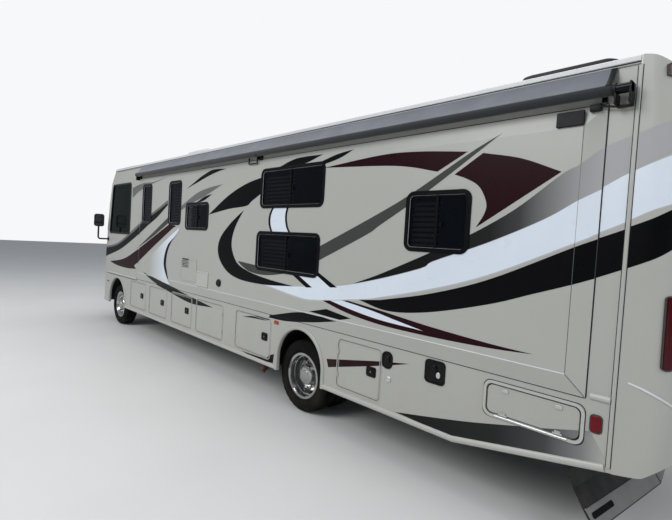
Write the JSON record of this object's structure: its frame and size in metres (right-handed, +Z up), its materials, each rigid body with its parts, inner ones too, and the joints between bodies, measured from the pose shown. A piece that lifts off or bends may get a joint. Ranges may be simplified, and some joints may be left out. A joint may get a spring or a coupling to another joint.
{
  "type": "class A motorhome with slide-out room",
  "caption": "Bus-shaped motorhome with a full-wall slide-out room, baggage doors, entry door, steered front wheels and twin rear wheels.",
  "frame": {"origin": "on the floor under the middle of the length and width", "axes": "+X forward, +Y to the vehicle left, +Z up"},
  "size_m": [10.77, 3.2, 3.7049],
  "materials": {
    "body_paint": "gloss pale greige paint with dark and burgundy stripes",
    "roof_skin": "white roof sheet",
    "chassis_black": "black paint",
    "iron": "dull cast iron",
    "tank_steel": "dull dark paint",
    "liner_black": "black sheet",
    "floor_wood": "plank floor",
    "trim_black": "gloss black",
    "window_glass": "dark tinted glass",
    "windscreen_glass": "clear laminated glass",
    "lamp_lens": "clear and red lenses",
    "tyre_rubber": "black rubber",
    "wheel_chrome": "polished stainless wheel covers",
    "steel": "steel",
    "seat_cloth": "upholstery",
    "dash_plastic": "moulded dark plastic",
    "cabinet_wood": "brown cabinet wood",
    "ladder_alu": "satin aluminium",
    "topper_cloth": "blue-grey awning cloth",
    "awning_white": "white aluminium",
    "rubber_sheet": "black rubber sheet",
    "unit_shroud": "dark grey shroud"
  },
  "bodies": {
    "coach": {"left_wall": "body_paint", "right_wall": "body_paint", "left_skirt": "body_paint", "right_skirt": "body_paint", "front_cap": "body_paint", "front_bumper": "body_paint", "rear_cap": "body_paint", "roof": "roof_skin", "floor": "floor_wood", "windscreen": "windscreen_glass", "wall_window_frames": "trim_black", "wall_window_panes": "window_glass", "chassis_frame": "chassis_black", "engine_block": "iron", "tanks_and_exhaust": "tank_steel", "front_axle": "chassis_black", "rear_axle": "chassis_black", "basement_liners": "liner_black", "entry_stairs": "dash_plastic", "dashboard": "dash_plastic", "cab_seats": "seat_cloth", "interior": "cabinet_wood", "roof_units": "unit_shroud", "mirrors": "trim_black", "lamps": "lamp_lens", "patio_awning": "awning_white", "ladder": "ladder_alu", "rock_guard": "rubber_sheet", "topper_fabric": "topper_cloth"},
    "slide_out": {"slide_wall": "body_paint", "slide_box": "body_paint", "slide_window_frames": "trim_black", "slide_window_panes": "window_glass", "topper_roller": "trim_black"},
    "entry_door": {"entry_door": "body_paint", "entry_door_pane": "window_glass"},
    "sliding_step": {"sliding_step": "steel"},
    "left_hatch": {"left_hatch": "body_paint"},
    "left_knuckle": {"left_knuckle": "steel"},
    "right_knuckle": {"right_knuckle": "steel"},
    "tie_rod": {"tie_rod": "steel"},
    "steering_wheel": {"steering_wheel": "dash_plastic"},
    "front_left_wheel": {"front_left_tyre": "tyre_rubber", "front_left_wheel": "wheel_chrome"},
    "front_right_wheel": {"front_right_tyre": "tyre_rubber", "front_right_wheel": "wheel_chrome"},
    "rear_left_wheels": {"rear_left_tyres": "tyre_rubber", "rear_left_wheels": "wheel_chrome"},
    "rear_right_wheels": {"rear_right_tyres": "tyre_rubber", "rear_right_wheels": "wheel_chrome"},
    "left_bag_door_1": {"left_bag_door_1": "body_paint"},
    "left_bag_door_2": {"left_bag_door_2": "body_paint"},
    "left_bag_door_3": {"left_bag_door_3": "body_paint"},
    "left_bag_door_4": {"left_bag_door_4": "body_paint"},
    "left_bag_door_5": {"left_bag_door_5": "body_paint"},
    "left_bag_door_6": {"left_bag_door_6": "body_paint"},
    "right_bag_door_1": {"right_bag_door_1": "body_paint"},
    "right_bag_door_2": {"right_bag_door_2": "body_paint"},
    "right_bag_door_3": {"right_bag_door_3": "body_paint"}
  },
  "joints": [
    {"name": "slide_out_travel", "type": "slide", "parent": "coach", "child": "slide_out", "axis": [0, 1, 0], "range_m": [0, 0.6]},
    {"name": "left_bag_door_1_hinge", "type": "hinge", "parent": "coach", "child": "left_bag_door_1", "pos_m": [3.545, 1.29, 0.7545], "axis": [0, 0, -1], "range_deg": [0, 110]},
    {"name": "left_bag_door_2_hinge", "type": "hinge", "parent": "coach", "child": "left_bag_door_2", "pos_m": [2.594, 1.29, 0.7545], "axis": [0, 0, -1], "range_deg": [0, 110]},
    {"name": "left_bag_door_3_hinge", "type": "hinge", "parent": "coach", "child": "left_bag_door_3", "pos_m": [1.643, 1.29, 0.7545], "axis": [0, 0, -1], "range_deg": [0, 110]},
    {"name": "left_bag_door_4_hinge", "type": "hinge", "parent": "coach", "child": "left_bag_door_4", "pos_m": [-0.057, 1.29, 0.7545], "axis": [0, 0, 1], "range_deg": [0, 95]},
    {"name": "left_bag_door_5_hinge", "type": "hinge", "parent": "coach", "child": "left_bag_door_5", "pos_m": [-0.417, 1.29, 0.7545], "axis": [0, 0, -1], "range_deg": [0, 95]},
    {"name": "left_bag_door_6_hinge", "type": "hinge", "parent": "coach", "child": "left_bag_door_6", "pos_m": [-2.437, 1.29, 0.7545], "axis": [0, 0, -1], "range_deg": [0, 110]},
    {"name": "right_bag_door_1_hinge", "type": "hinge", "parent": "coach", "child": "right_bag_door_1", "pos_m": [3.545, -1.29, 0.7545], "axis": [0, 0, 1], "range_deg": [0, 110]},
    {"name": "right_bag_door_2_hinge", "type": "hinge", "parent": "coach", "child": "right_bag_door_2", "pos_m": [0.635, -1.29, 0.7545], "axis": [0, 0, 1], "range_deg": [0, 110]},
    {"name": "right_bag_door_3_hinge", "type": "hinge", "parent": "coach", "child": "right_bag_door_3", "pos_m": [-2.437, -1.29, 0.7545], "axis": [0, 0, 1], "range_deg": [0, 110]},
    {"name": "left_hatch_hinge", "type": "hinge", "parent": "coach", "child": "left_hatch", "pos_m": [-4.442, 1.29, 0.768], "axis": [-1, 0, 0], "range_deg": [0, 120]},
    {"name": "entry_door_hinge", "type": "hinge", "parent": "coach", "child": "entry_door", "pos_m": [2.185, -1.29, 1.5], "axis": [0, 0, 1], "range_deg": [0, 120]},
    {"name": "sliding_step_travel", "type": "slide", "parent": "coach", "child": "sliding_step", "axis": [0, -1, 0], "range_m": [0, 0.25]},
    {"name": "left_steer", "type": "hinge", "parent": "coach", "child": "left_knuckle", "pos_m": [4.335, 0.925, 0.419], "axis": [0, 0, 1], "range_deg": [-36, 36]},
    {"name": "front_left_spin", "type": "hinge", "parent": "left_knuckle", "child": "front_left_wheel", "pos_m": [4.335, 1.1025, 0.419], "axis": [0, 1, 0], "continuous": true},
    {"name": "rear_left_spin", "type": "hinge", "parent": "coach", "child": "rear_left_wheels", "pos_m": [-1.75, 0.9325, 0.419], "axis": [0, 1, 0], "continuous": true},
    {"name": "right_steer", "type": "hinge", "parent": "coach", "child": "right_knuckle", "pos_m": [4.335, -0.925, 0.419], "axis": [0, 0, 1], "range_deg": [-36, 36]},
    {"name": "front_right_spin", "type": "hinge", "parent": "right_knuckle", "child": "front_right_wheel", "pos_m": [4.335, -1.1025, 0.419], "axis": [0, 1, 0], "continuous": true},
    {"name": "rear_right_spin", "type": "hinge", "parent": "coach", "child": "rear_right_wheels", "pos_m": [-1.75, -0.9325, 0.419], "axis": [0, 1, 0], "continuous": true},
    {"name": "tie_rod_pivot", "type": "hinge", "parent": "left_knuckle", "child": "tie_rod", "pos_m": [4.145, 0.925, 0.37], "axis": [0, 0, 1], "range_deg": [-36, 36]},
    {"name": "steering_wheel_turn", "type": "hinge", "parent": "coach", "child": "steering_wheel", "pos_m": [4.185, 0.56, 1.8], "axis": [-0.6691, 0, 0.7431], "range_deg": [-540, 540]}
  ],
  "couplings": [
    {"joint": "right_steer", "follows": "left_steer", "ratio": 1},
    {"joint": "tie_rod_pivot", "follows": "left_steer", "ratio": -1},
    {"joint": "steering_wheel_turn", "follows": "left_steer", "ratio": 15}
  ]
}
